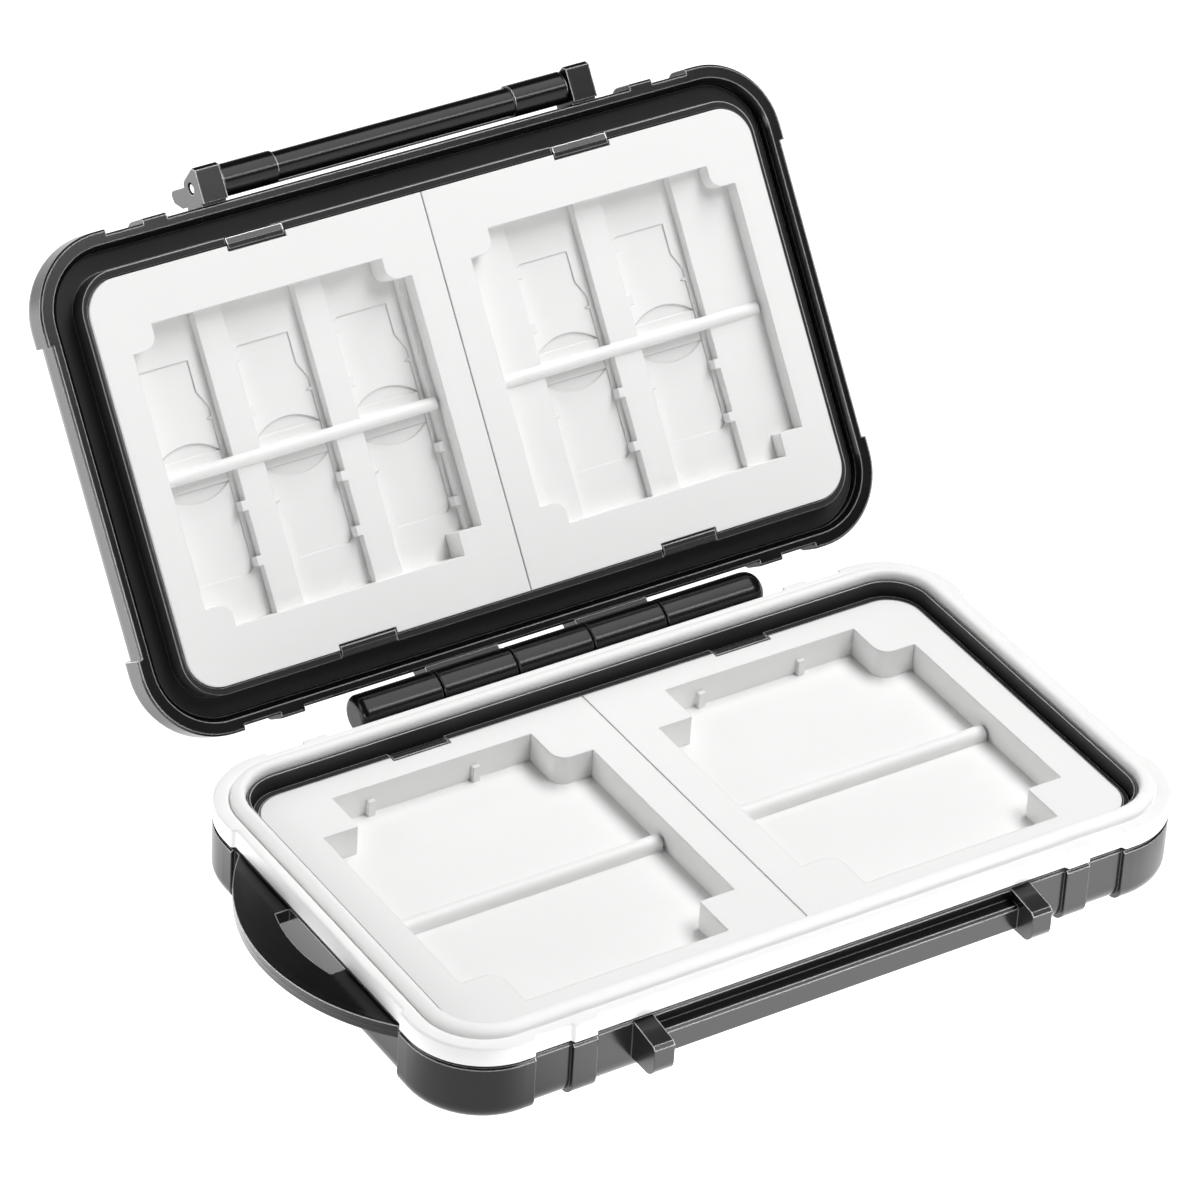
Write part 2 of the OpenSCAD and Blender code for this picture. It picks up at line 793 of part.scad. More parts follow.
module lid_tray(side, starts) {
    middle = tray_w / 2;
    translate([side * seat_gap, 0, 0]) {
        difference() {
            mirror([side < 0 ? 1 : 0, 0, 0]) tray_blank(lid_inner_z - lid_face_z);
            translate([side * middle, 0, -lid_pocket_h]) linear_extrude(lid_pocket_h + 1)
                pocket_outline(lid_pocket_w, lid_pocket_d, lid_block_w, lid_block_d,
                    [lid_block_r, sharp_r, lid_block_r, lid_block_r]);
            hook_rebates(side * (clip_x - seat_gap));
            translate([side * middle, 0, -lid_pocket_h]) for (start = starts) {
                both_rows(start) card_seat();
            }
        }
        translate([side * middle, 0, -lid_pocket_h]) {
            for (start = starts) {
                both_rows(start) card_nubs();
            }
            intersection() {
                linear_extrude(strip_h) pocket_outline(lid_pocket_w, lid_pocket_d, lid_block_w,
                    lid_block_d, [lid_block_r, sharp_r, lid_block_r, lid_block_r]);
                lid_strips(starts);
            }
            rib_bar(-lid_pocket_w / 2 - 0.5, lid_pocket_w / 2 - 0.5, lid_rib_t, lid_rib_h);
        }
    }
}

module lid_tray_left() {
    color(white) opened() facing_down() lid_tray(-1, [for (k = [0:2]) k * card_pitch - lid_pocket_w / 2]);
}

module lid_tray_right() {
    color(white) opened() facing_down() lid_tray(1, [for (k = [0:1]) first_pocket + k * wide_pitch - lid_pocket_w / 2]);
}

module lid_clip(sx, sy) {
    color(black) opened() facing_down() translate([sx * clip_x, 0, 0]) mirror([0, sy < 0 ? 0 : 1, 0])
        clip(lid_face_z - lid_inner_z, -0.02);
}

module lid_clip_front_left() {
    lid_clip(-1, -1);
}

module lid_clip_front_right() {
    lid_clip(1, -1);
}

module lid_clip_back_left() {
    lid_clip(-1, 1);
}

module lid_clip_back_right() {
    lid_clip(1, 1);
}

// Hinge pin, latch and its pins

module hinge_pin() {
    color(steel) rod(-hinge_left + pin_stop + 0.3, hinge_right - 0.6, hinge_pin_r, hinge_y, hinge_z);
}

module folded_back() {
    translate([0, pivot_y, pivot_z]) rotate([-latch_open, 0, 0]) translate([0, -pivot_y, -pivot_z]) children();
}

// Barrel and the stem of the plate
module latch_section() {
    inner = plate_inner;
    outer = inner - plate_t;
    translate([pivot_y, pivot_z]) circle(barrel_r);
    translate([outer + plate_bevel / 4, plate_top - 1]) square([plate_t - plate_bevel / 4, pivot_z - plate_top + 1]);
}

// Plate below the ears, bevelled outside and rounded at its free end
module plate_section() {
    outer = plate_inner - plate_t;
    end_r = 0.9;
    polygon([
        [plate_inner, plate_top], [outer + 0.5, plate_top], [outer, plate_top - 0.5],
        [outer, latch_low + plate_bevel], [plate_inner - 2 * end_r, latch_low + 0.2],
        [plate_inner - end_r, latch_low], [plate_inner, latch_low + end_r]
    ]);
    translate([plate_inner - end_r, latch_low + end_r]) circle(end_r);
}

// Hook that catches under the bar
module hook_section() {
    hook_top = catch_low - 0.35;
    polygon([
        [plate_inner - 0.5, hook_top - 1.6], [plate_inner + 0.4, hook_top - 1.4],
        [plate_inner + hook_out, hook_top - 0.6], [plate_inner + hook_out, hook_top - 0.2],
        [plate_inner + hook_out - 0.2, hook_top], [plate_inner - 0.5, hook_top]
    ]);
}
plate_inner = -case_d / 2 - catch_out - 0.25;
plate_top = pivot_z - norm([ear_out - pivot_out, pivot_z - rim_z + ear_drop]) - body_gap;
hook_out = 1;

module latch_bar() {
    color(black) opened() folded_back() difference() {
        union() {
            across(-latch_half, latch_half) latch_section();
            across(-plate_half, plate_half) plate_section();
            across(-latch_half + 1.5, latch_half - 1.5) hook_section();
            rod(-latch_half, -latch_half + boss_len, barrel_r + boss_out, pivot_y, pivot_z);
            rod(latch_half - boss_len, latch_half, barrel_r + boss_out, pivot_y, pivot_z);
        }
        for (s = [-1, 1]) {
            inner = latch_half - pin_in - 0.3;
            rod(s < 0 ? -case_w : inner, s < 0 ? -inner : case_w, latch_pin_r + pin_gap, pivot_y, pivot_z);
        }
    }
}
pin_in = 4;

module latch_pin(s) {
    a = latch_half - pin_in;
    b = latch_half + 0.25 + ear_w - 0.6;
    color(steel) opened() rod(s < 0 ? -b : a, s < 0 ? -a : b, latch_pin_r, pivot_y, pivot_z);
}

module latch_pin_left() {
    latch_pin(-1);
}

module latch_pin_right() {
    latch_pin(1);
}

base_shell();
base_liner();
base_seal();
base_tray_left();
base_tray_right();
base_clip_front_left();
base_clip_front_right();
base_clip_back_left();
base_clip_back_right();
lid_shell();
lid_liner();
lid_tray_left();
lid_tray_right();
lid_clip_front_left();
lid_clip_front_right();
lid_clip_back_left();
lid_clip_back_right();
hinge_pin();
latch_bar();
latch_pin_left();
latch_pin_right();
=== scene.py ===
"""Memory card case, dressed: finishes for every moulded piece, the soft seal, floor, light and camera."""

import math

import bmesh
import bpy
from bpy.props import FloatProperty, FloatVectorProperty, PointerProperty
from mathutils import Matrix, Vector


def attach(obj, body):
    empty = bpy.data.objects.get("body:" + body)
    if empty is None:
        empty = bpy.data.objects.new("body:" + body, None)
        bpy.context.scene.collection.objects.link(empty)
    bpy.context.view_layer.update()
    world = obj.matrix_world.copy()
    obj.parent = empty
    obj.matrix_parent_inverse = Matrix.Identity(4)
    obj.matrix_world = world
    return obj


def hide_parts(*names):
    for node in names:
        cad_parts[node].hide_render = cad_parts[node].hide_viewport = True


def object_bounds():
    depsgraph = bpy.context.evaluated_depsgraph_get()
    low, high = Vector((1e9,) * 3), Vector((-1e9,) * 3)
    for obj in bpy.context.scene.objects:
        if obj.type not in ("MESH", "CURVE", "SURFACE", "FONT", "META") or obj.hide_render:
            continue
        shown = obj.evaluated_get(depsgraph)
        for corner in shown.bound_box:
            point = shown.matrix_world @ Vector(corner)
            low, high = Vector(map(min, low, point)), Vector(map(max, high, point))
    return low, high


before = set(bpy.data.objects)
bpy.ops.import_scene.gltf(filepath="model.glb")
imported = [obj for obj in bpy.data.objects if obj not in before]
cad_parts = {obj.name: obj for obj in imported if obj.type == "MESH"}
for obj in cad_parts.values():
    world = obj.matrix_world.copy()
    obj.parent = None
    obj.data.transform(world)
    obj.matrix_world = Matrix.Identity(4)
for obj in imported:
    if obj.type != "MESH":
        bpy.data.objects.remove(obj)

CAD_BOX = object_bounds()

bl_info = {
    "name": "Memory card case",
    "version": (1, 0, 0),
    "blender": (4, 5, 0),
    "location": "View3D > Sidebar > Card case",
    "description": "Dresses the packed card case and sets up its studio",
    "category": "Object",
}

SHELLS = ("base_shell", "lid_shell")
LINERS = ("base_liner", "lid_liner")
BASE_TRAYS = ("base_tray_left", "base_tray_right")
LID_TRAYS = ("lid_tray_left", "lid_tray_right")
CLIPS = tuple(
    f"{half}_clip_{side}_{hand}"
    for half in ("base", "lid")
    for side in ("front", "back")
    for hand in ("left", "right")
)
PINS = ("hinge_pin", "latch_pin_left", "latch_pin_right")

# Tones of scuffed edges, of the painted highlight along the black plastic's upward edges, of the painted
# shade along tray edges, and of the lighter seal and steel edges
SCUFFED_BLACK = (0.035, 0.035, 0.036)
PAINTED_HIGHLIGHT = (0.8, 0.8, 0.8)
PAINTED_EDGE_SHADE = (0.7, 0.7, 0.7)
WORN_SEAL = (0.95, 0.95, 0.945)
BRIGHT_STEEL = (0.85, 0.85, 0.86)

# Where the seal's proud parts end and begin along the front and along the sides, from the middle
PROUD_ENDS_FRONT = (-0.048, -0.0421, -0.0383, 0.0383, 0.0421, 0.048)
PROUD_ENDS_SIDE = (-0.0226, 0.0226)
# Shares of the half step at which a rising part gets points, and the number of points elsewhere
RISE_MARKS = (-1, -0.6, -0.2, 0.2, 0.6, 1)
SIDE_STEPS = 36
CORNER_STEPS = 28
# The crease at the bead's foot: distance outward from the bead's slope, depth below the flange
CREASE = ((0.00042, 0.00002), (0.0002, 0.00008), (0.00005, 0.0002), (-0.00002, 0.00008))
INNER_BEND = 0.0001

# The loop's rim: how far it stays inside the loop's bow, how far it laps over the loop's faces, its width,
# the length and depth of the tail that is hidden in the loop, and half of the turn that it covers
RIM_INSET = 0.00003
RIM_LAP = 0.000005
RIM_WIDE = 0.001
RIM_TAIL = 0.0003
RIM_SINK = 0.00002
RIM_HALF_TURN = math.radians(44.2)
RIM_STEPS = 30

# A latch pin's head: distance past the pin's end, radius
PIN_HEAD = (
    (-0.0003, 0.0008), (0.0003, 0.0008), (0.00042, 0.00074),
    (0.0005, 0.0006), (0.00053, 0.00035), (0.00054, 0.00012),
)
PIN_SIDES = 32

# Bright patches of the floor: strength, where each rises and falls along X, and the same along Y
FLOOR_PATCHES = (
    (0.95, (-0.055, -0.03, 0.05, 0.08), (-0.2, -0.1, -0.041, -0.03)),
    (0.6, (-0.3, -0.2, -0.075, -0.058), (-0.03, 0.0, 0.2, 0.3)),
)
FLOOR_HALF = 4
FLOOR_GAP = 0.0001

# Place, aim and size of the softboxes
ABOVE = ((0.45, -0.1, 1.05), (0, 0, 0.02), (1.2, 0.5))
SIDE = ((-1.0, 0.35, 0.45), (0, 0.02, 0.05), (0.7, 0.6))
FRONT = ((0.45, -1.05, 0.22), (0, 0, 0.04), (0.9, 0.36))
# Name, place and size of the lamps that draw the bright lines along the black edges, and where they aim
EDGE_LIGHTS = (
    ("edge_front", (0.551, -0.685, 0.817), (0.55, 0.12)),
    ("edge_left", (-1.06, -0.493, 0.25), (0.4, 0.14)),
)
EDGE_AIM = (0, 0, 0.03)
# The black pieces that mirror the lamps have lamps of their own
MIRRORS = SHELLS + ("latch_bar", "loop_rim")
# The right pin's head is out of the camera's sight and does without the top light
TOP_LIT = tuple(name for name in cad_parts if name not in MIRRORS) + ("seal_band", "pin_head_left")


# Settings


def colour(name, text, default):
    return FloatVectorProperty(name=name, description=text, subtype="COLOR", size=3, min=0, max=1,
                               default=default)


def length(name, text, default):
    return FloatProperty(name=name, description=text, subtype="DISTANCE", unit="LENGTH", min=0,
                         default=default)


def share(name, text, default):
    return FloatProperty(name=name, description=text, subtype="FACTOR", min=0, max=1, default=default)


def brightness(name, text, default):
    return FloatProperty(name=name, description=text, min=0, default=default)


def power(name, text, default):
    return FloatProperty(name=name, description=text, subtype="POWER", default=default)


def angle(name, text, degrees):
    return FloatProperty(name=name, description=text, subtype="ANGLE", default=math.radians(degrees))


class CaseFinishes(bpy.types.PropertyGroup):
    shell_black: colour("Shell black", "Colour of the moulded housing", (0.004, 0.004, 0.0044))
    shell_gloss: share("Shell roughness", "Roughness of the housing's outer faces", 0.2)
    latch_gloss: share("Latch roughness", "Roughness of the latch bar", 0.19)
    liner_black: colour("Liner black", "Colour of the frames inside the rims", (0.03, 0.03, 0.0305))
    liner_gloss: share("Liner roughness", "Roughness of the frames inside the rims", 0.34)
    clip_gloss: share("Clip roughness", "Roughness of the spring clips", 0.26)
    base_tray_gloss: share("Base tray roughness", "Roughness of the base's card trays", 0.46)
    lid_tray_gloss: share("Lid tray roughness", "Roughness of the lid's card trays", 0.42)
    tray_white: colour("Tray white", "Colour of the card trays", (0.86, 0.86, 0.855))
    seal_white: colour("Seal white", "Colour of the soft seal", (0.9, 0.9, 0.895))
    seal_gloss: share("Seal roughness", "Roughness of the soft seal", 0.5)
    pin_grey: colour("Pin steel", "Colour of the hinge and latch pins", (0.62, 0.62, 0.63))
    grain: length("Mould grain", "Width of the fine grain that the mould leaves", 0.00022)
    edge: length("Edge rounding", "Radius of the small rounding along moulded edges", 0.00026)


class SealSizes(bpy.types.PropertyGroup):
    width: length("Case width", "Width of the plain outline", 0.121)
    depth: length("Case depth", "Depth of the plain outline", 0.0714)
    corner: length("Corner radius", "Corner radius of the plain outline", 0.0108)
    foot: length("Underside", "Height of the band's underside", 0.00965)
    top: length("Flange", "Height of the flat flange", 0.0126)
    proud: length("Proud parts", "How far bumpers and ribs stand proud", 0.00065)
    fillet: length("Outer rounding", "Radius along the band's outer top edge", 0.00035)
    nick: length("Lower rounding", "Size of the rounding along the band's outer lower edge", 0.00012)
    flat: length("Flange width", "Distance from the outline at which the flange dips", 0.0009)
    crest: length("Bead radius", "Radius of the bead's inner side", 0.0007)
    crest_in: length("Bead place", "Distance of the crest from the outline", 0.00315)
    roll: length("Bead slope", "Width of the bead's outer slope", 0.00145)
    crest_up: length("Bead height", "Height of the bead above the flange", 0.0012)
    inner: length("Band width", "Distance of the inner face from the outline", 0.0039)
    tongue_in: length("Tongue's inner face", "Its distance from the outline", 0.0027)
    tongue_out: length("Tongue's outer face", "Its distance from the outline", 0.0015)
    tongue_deep: length("Tongue depth", "How far the tongue reaches down into the wall", 0.0012)
    step: length("Step softness", "Length over which a proud part rises", 0.0004)


class SmallPartSizes(bpy.types.PropertyGroup):
    width: length("Case width", "Width of the plain outline", 0.121)
    loop_long: length("Loop length", "Length of the carrying loop along the case", 0.043)
    loop_out: length("Loop reach", "How far the loop stands out", 0.0086)
    loop_thick: length("Loop thickness", "Thickness of the loop", 0.002)
    loop_top: length("Loop height", "Height of the loop's upper face", 0.0091)
    pin_end: length("Pin end", "Distance of the latch pins' ends from the middle", 0.03195)
    pin_y: length("Pin depth", "Place of the latch pins from front to back", 0.08709)
    pin_z: length("Pin height", "Height of the latch pins in the open case", 0.07254)


class StudioSettings(bpy.types.PropertyGroup):
    floor: colour("Floor", "Colour of the floor", (0.12, 0.12, 0.12))
    floor_glow: brightness("Floor glow", "Light of the floor's bright patches", 3.9)
    floor_even: share("Even glow", "Glow of the rest of the floor against the bright patches", 0.35)
    room: brightness("Room light", "Strength of the even light all round", 0.07)
    above: power("Top light", "Power of the softbox above", 14.4)
    above_black: share("Top light on black", "Share of the top light that reaches the mirroring pieces", 0.36)
    side: power("Side light", "Power of the softbox at the left", 3.4)
    front: power("Front light", "Power of the front strip", 1.3)
    strips: power("Edge lights", "Power of the edge lamps for each square metre", 38)
    azimuth: angle("Camera azimuth", "Turn round the case", -33.983)
    elevation: angle("Camera elevation", "Angle above the horizon", 34.804)
    roll: angle("Camera roll", "Tilt of the picture", 3.482)
    place: FloatVectorProperty(name="Camera place", description="Where the camera stands", unit="LENGTH",
                               subtype="TRANSLATION", size=3, default=(-0.4345, -0.6181, 0.5692))
    lens: FloatProperty(name="Lens", description="Focal length in mm", unit="CAMERA", default=202.374)
    sensor: FloatProperty(name="Sensor", description="Width of the sensor in mm", unit="CAMERA", default=36)


# Finishes


class Wire:
    """A socket of a material. Arithmetic on it adds Math nodes."""

    def __init__(self, finish, socket):
        self.finish = finish
        self.socket = socket

    def math(self, operation, first, second):
        return self.finish.node("ShaderNodeMath", {"operation": operation}, {0: first, 1: second})

    def __add__(self, other):
        return self.math("ADD", self, other)

    def __sub__(self, other):
        return self.math("SUBTRACT", self, other)

    def __rsub__(self, other):
        return self.math("SUBTRACT", other, self)

    def __mul__(self, other):
        return self.math("MULTIPLY", self, other)

    def larger(self, other):
        return self.math("MAXIMUM", self, other)

    __radd__ = __add__
    __rmul__ = __mul__


class Finish:
    """A material that is put together node by node."""

    def __init__(self, name):
        self.material = bpy.data.materials.new(name)
        self.material.use_nodes = True
        self.tree = self.material.node_tree
        self.tree.nodes.clear()

    def node(self, kind, settings=None, sockets=None, output=0):
        """Adds a node: its settings first, then the values or wires of its sockets. Returns one output."""
        made = self.tree.nodes.new(kind)
        for key, value in (settings or {}).items():
            setattr(made, key, value)
        for key, value in (sockets or {}).items():
            if isinstance(value, Wire):
                self.tree.links.new(value.socket, made.inputs[key])
            else:
                made.inputs[key].default_value = value
        return Wire(self, made.outputs[output]) if len(made.outputs) else None

    def place(self, stretch=(1, 1, 1)):
        where = self.node("ShaderNodeTexCoord", output="Object")
        return self.node("ShaderNodeMapping", sockets={"Vector": where, "Scale": stretch})

    def axis(self, vector, number):
        """One part of a vector: 0 for X, 1 for Y, 2 for Z."""
        return self.node("ShaderNodeSeparateXYZ", sockets={"Vector": vector}, output=number)

    def noise(self, width, detail, rough, stretch=(1, 1, 1)):
        sockets = {"Vector": self.place(stretch), "Scale": 1 / width, "Detail": detail, "Roughness": rough}
        return self.node("ShaderNodeTexNoise", sockets=sockets, output="Fac")

    def ramp(self, value, low, high):
        """0 below low, 1 above high."""
        return self.node("ShaderNodeMapRange", {"interpolation_type": "SMOOTHSTEP"},
                         {"Value": value, "From Min": low, "From Max": high})

    def hill(self, value, ends):
        """0 outside and 1 inside, with a soft rise and a soft fall."""
        rise_from, rise_to, fall_from, fall_to = ends
        return self.ramp(value, rise_from, rise_to) * (1 - self.ramp(value, fall_from, fall_to))

    def blend(self, share, first, second):
        """Mixes two colours."""
        return self.node("ShaderNodeMix", {"data_type": "RGBA"}, {0: share, 6: first, 7: second}, output=2)

    def rounded_edge(self, radius):
        """The surface normal with small roundings, and a mask of the edges."""
        rounded = self.node("ShaderNodeBevel", {"samples": 6}, {"Radius": radius})
        flat = self.node("ShaderNodeNewGeometry", output="Normal")
        alike = self.node("ShaderNodeVectorMath", {"operation": "DOT_PRODUCT"}, {0: rounded, 1: flat},
                          output="Value")
        return rounded, self.ramp(1 - alike, low=0.003, high=0.08)

    def relief(self, normal, height, depth, strength):
        sockets = {"Strength": strength, "Distance": depth, "Height": height, "Normal": normal}
        return self.node("ShaderNodeBump", sockets=sockets)

    def close(self, **sockets):
        named = {key.replace("_", " "): value for key, value in sockets.items()}
        shader = self.node("ShaderNodeBsdfPrincipled", sockets=named)
        self.node("ShaderNodeOutputMaterial", sockets={"Surface": shader})
        return self.material


def rgba(tone, factor=1.0):
    return tuple(min(part * factor, 1) for part in tone) + (1,)


def moulded_black(name, tone, gloss, cfg, grain_depth=0.000002, wear=0.5, mirror=0.36):
    """Hard black plastic with fine mould grain, flow marks, edges polished and scuffed by handling, and a
    painted highlight along open edges that face up.
    """
    finish = Finish(name)
    rounded, edge = finish.rounded_edge(cfg.edge)
    flow = finish.noise(width=0.03, detail=3, rough=0.55, stretch=(1, 1, 0.35))
    handling = finish.ramp(finish.noise(width=0.009, detail=4, rough=0.6), low=0.42, high=0.72)
    grain = finish.noise(width=cfg.grain, detail=2, rough=0.6)
    scuff = edge * finish.ramp(finish.noise(width=0.012, detail=3, rough=0.6), low=0.2, high=0.7) * wear
    free = finish.node("ShaderNodeAmbientOcclusion", {"samples": 6}, {"Distance": 0.0012}, output=1)
    # Painted highlight: open edges that face up are painted light grey and given a coat, standing in for the
    # lit lines along them
    upward = finish.ramp(finish.axis(rounded, 2), low=0.1, high=0.4)
    highlight_edge = upward * edge * finish.ramp(free, low=0.5, high=0.8)
    body = finish.blend(flow, rgba(tone, 0.85), rgba(tone, 1.2))
    worn = finish.blend(scuff, body, rgba(SCUFFED_BLACK))
    painted = finish.blend(highlight_edge * 0.9, worn, rgba(PAINTED_HIGHLIGHT))
    rough = flow * 0.05 + (gloss - 0.04) + handling * 0.03 + grain * 0.03 - edge * 0.05
    relief = finish.relief(rounded, grain + handling * 0.3, depth=grain_depth, strength=0.55)
    return finish.close(Base_Color=painted, Roughness=rough, Normal=relief, Specular_IOR_Level=mirror,
                        Coat_Weight=highlight_edge, Coat_Roughness=0.3, Coat_IOR=3.0)


def moulded_white(name, tone, gloss, cfg, flow_marks):
    """White plastic with soft flow marks, fine grain, and polished edges that are painted a darker grey as
    their shade.
    """
    finish = Finish(name)
    rounded, edge = finish.rounded_edge(cfg.edge)
    flow = finish.noise(width=0.011, detail=4, rough=0.55, stretch=(1, 0.8, 1))
    cloud = finish.noise(width=0.035, detail=2, rough=0.5)
    grain = finish.noise(width=cfg.grain * 1.4, detail=2, rough=0.5)
    body = finish.blend(cloud, rgba(tone, 0.985), rgba(tone, 1.01))
    # Painted shade: every edge is painted a darker grey, standing in for the shade on its small rounding
    painted = finish.blend(edge * 0.3, body, rgba(PAINTED_EDGE_SHADE))
    rough = (flow - 0.5) * 0.12 + gloss + grain * 0.03 - edge * 0.05
    relief = finish.relief(rounded, flow + grain * 0.25, depth=flow_marks, strength=0.5)
    return finish.close(Base_Color=painted, Roughness=rough, Normal=relief, Specular_IOR_Level=0.42)


def soft_white(name, tone, gloss, cfg):
    """Soft rubber: matt, finely dimpled, with faint pressing marks along the band."""
    finish = Finish(name)
    rounded, edge = finish.rounded_edge(cfg.edge * 0.8)
    dimple = finish.noise(width=0.00035, detail=3, rough=0.6)
    pressed = finish.noise(width=0.006, detail=3, rough=0.5, stretch=(1, 1, 2.5))
    body = finish.blend(pressed, rgba(tone, 0.97), rgba(tone, 1.02))
    painted = finish.blend(edge * 0.3, body, rgba(WORN_SEAL))
    rough = (pressed - 0.5) * 0.12 + gloss + dimple * 0.06
    relief = finish.relief(rounded, dimple + pressed * 0.5, depth=0.00001, strength=0.45)
    return finish.close(Base_Color=painted, Roughness=rough, Normal=relief, Specular_IOR_Level=0.4,
                        Sheen_Weight=0.12, Sheen_Roughness=0.5)


def drawn_steel(name, tone, cfg):
    """Steel wire with drawing lines along X and bright ends."""
    finish = Finish(name)
    rounded, edge = finish.rounded_edge(cfg.edge * 0.6)
    lines = finish.noise(width=0.00012, detail=3, rough=0.6, stretch=(0.04, 1, 1))
    stain = finish.noise(width=0.0016, detail=3, rough=0.6)
    body = finish.blend(stain, rgba(tone, 0.82), rgba(tone, 1.15))
    painted = finish.blend(edge * 0.6, body, rgba(BRIGHT_STEEL))
    rough = lines * 0.16 + stain * 0.1 + 0.16 - edge * 0.05
    relief = finish.relief(rounded, lines, depth=0.000006, strength=0.5)
    return finish.close(Base_Color=painted, Roughness=rough, Normal=relief, Metallic=1.0)


def wear_finish(names, material):
    """Gives CAD pieces their finish in every material slot."""
    for name in names:
        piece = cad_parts[name]
        if not piece.material_slots:
            piece.data.materials.append(material)
        for place in piece.material_slots:
            place.material = material


# Mesh pieces


def add_object(name, data):
    thing = bpy.data.objects.new(name, data)
    bpy.context.scene.collection.objects.link(thing)
    return thing


def place_mesh(name, bm, sharp):
    """Makes a smooth piece whose edges are sharp from an angle in degrees."""
    mesh = bpy.data.meshes.new(name)
    bmesh.ops.recalc_face_normals(bm, faces=bm.faces)
    bm.to_mesh(mesh)
    bm.free()
    for face in mesh.polygons:
        face.use_smooth = True
    mesh.set_sharp_from_angle(angle=math.radians(sharp))
    return add_object(name, mesh)


def join_rings(bm, rings, closed=False):
    """Faces between rings of points that follow each other."""
    followers = rings[1:] + rings[:1] if closed else rings[1:]
    for ring, after in zip(rings, followers):
        for j in range(len(ring)):
            i = (j + 1) % len(ring)
            bm.faces.new((ring[j], after[j], after[i], ring[i]))


def close_ends(bm, rings):
    bm.faces.new(rings[0])
    bm.faces.new(rings[-1])


# Soft seal


def side_marks(half, ends, soft):
    """Places along a side of the outline, closer together where a proud part rises."""
    marks = [end + soft * k for end in ends for k in RISE_MARKS]
    marks += [half * (2 * k / SIDE_STEPS - 1) for k in range(1, SIDE_STEPS)]
    return sorted(mark for mark in marks if abs(mark) < half)


def proud_share(mark, ends, step):
    """How proud the band stands at a mark: 1 on bumpers and ribs, 0 between them, soft on the way."""
    height = 1.0
    for k, end in enumerate(ends):
        t = min(max((mark - end) / step + 0.5, 0), 1)
        t = t * t * (3 - 2 * t)
        height += (k % 2 - height) * t
    return height


def outline_stations(cfg):
    """Points round the plain outline: (point, outward normal, how proud the band stands there)."""
    half_w, half_d, r = cfg.width / 2, cfg.depth / 2, cfg.corner
    sides = ((half_w, half_d - r, PROUD_ENDS_SIDE), (half_d, half_w - r, PROUD_ENDS_FRONT)) * 2
    stations = []
    for quarter, (out, run, ends) in enumerate(sides):
        turn = quarter * math.pi / 2
        c, s = round(math.cos(turn)), round(math.sin(turn))
        for mark in side_marks(run, ends, cfg.step / 2):
            point = Vector((c * out - s * mark, s * out + c * mark))
            stations.append((point, Vector((c, s)), proud_share(mark, ends, cfg.step)))
        corner = Vector((c * (out - r) - s * run, s * (out - r) + c * run))
        for k in range(CORNER_STEPS + 1):
            a = turn + k / CORNER_STEPS * math.pi / 2
            normal = Vector((math.cos(a), math.sin(a)))
            stations.append((corner + normal * r, normal, 1.0))
    return stations


def arc(middle, radii, first, last, steps):
    """Points along an ellipse from one angle to another, in degrees."""
    angles = [math.radians(first + k / steps * (last - first)) for k in range(steps + 1)]
    return [(middle[0] + radii[0] * math.cos(a), middle[1] + radii[1] * math.sin(a)) for a in angles]


def band_section(cfg, proud):
    """The band's section as (distance outward, height), once round."""
    out = cfg.proud * proud
    top, foot, soft, tiny = cfg.top, cfg.foot, cfg.fillet, cfg.nick / 4
    slope_end = cfg.roll - cfg.crest_in
    tongue_foot = foot - cfg.tongue_deep
    outer = [(out - cfg.nick, foot), (out - tiny, foot + tiny), (out, foot + cfg.nick)]
    outer += arc((out - soft, top - soft), (soft, soft), 0, 90, 6)
    flange = [(-cfg.flat, top)] + [(slope_end + away, top - deep) for away, deep in CREASE]
    slope = arc((-cfg.crest_in, top), (cfg.roll, cfg.crest_up), 10, 90, 9)
    crest = arc((-cfg.crest_in, top + cfg.crest_up - cfg.crest), (cfg.crest, cfg.crest), 90, 175, 7)[1:]
    inner = [(-cfg.inner + tiny, top + INNER_BEND * 1.5), (-cfg.inner, top - INNER_BEND), (-cfg.inner, foot)]
    tongue = [(-cfg.tongue_in, foot), (-cfg.tongue_in, tongue_foot)]
    tongue += [(-cfg.tongue_out, tongue_foot), (-cfg.tongue_out, foot)]
    return outer + flange + slope + crest + inner + tongue


def build_seal(cfg):
    bm = bmesh.new()
    rings = []
    for point, normal, proud in outline_stations(cfg):
        places = [(point + normal * out, height) for out, height in band_section(cfg, proud)]
        rings.append([bm.verts.new((place.x, place.y, height)) for place, height in places])
    join_rings(bm, rings, closed=True)
    bmesh.ops.remove_doubles(bm, verts=bm.verts, dist=0.000001)
    return place_mesh("seal_band", bm, sharp=38)


# Carrying loop and pin heads


def build_loop_rim(cfg):
    """The loop's upright rim with its two small edges."""
    bow = ((cfg.loop_long / 2) ** 2 + cfg.loop_out ** 2) / (2 * cfg.loop_out)
    centre = -cfg.width / 2 - cfg.loop_out + bow
    rim, low, high = bow - RIM_INSET, cfg.loop_top - cfg.loop_thick, cfg.loop_top
    inner = rim - RIM_WIDE
    tail = inner - RIM_TAIL
    highlight_edge = [(tail, high - RIM_SINK), (inner, high + RIM_LAP), (rim, high + RIM_LAP)]
    lower = [(rim, low - RIM_LAP), (inner, low - RIM_LAP), (tail, low + RIM_SINK)]
    bm = bmesh.new()
    rings = []
    for k in range(2 * RIM_STEPS + 1):
        a = math.pi + RIM_HALF_TURN * (k / RIM_STEPS - 1)
        rings.append([bm.verts.new((centre + r * math.cos(a), r * math.sin(a), z)) for r, z in highlight_edge + lower])
    join_rings(bm, rings)
    close_ends(bm, rings)
    return place_mesh("loop_rim", bm, sharp=40)


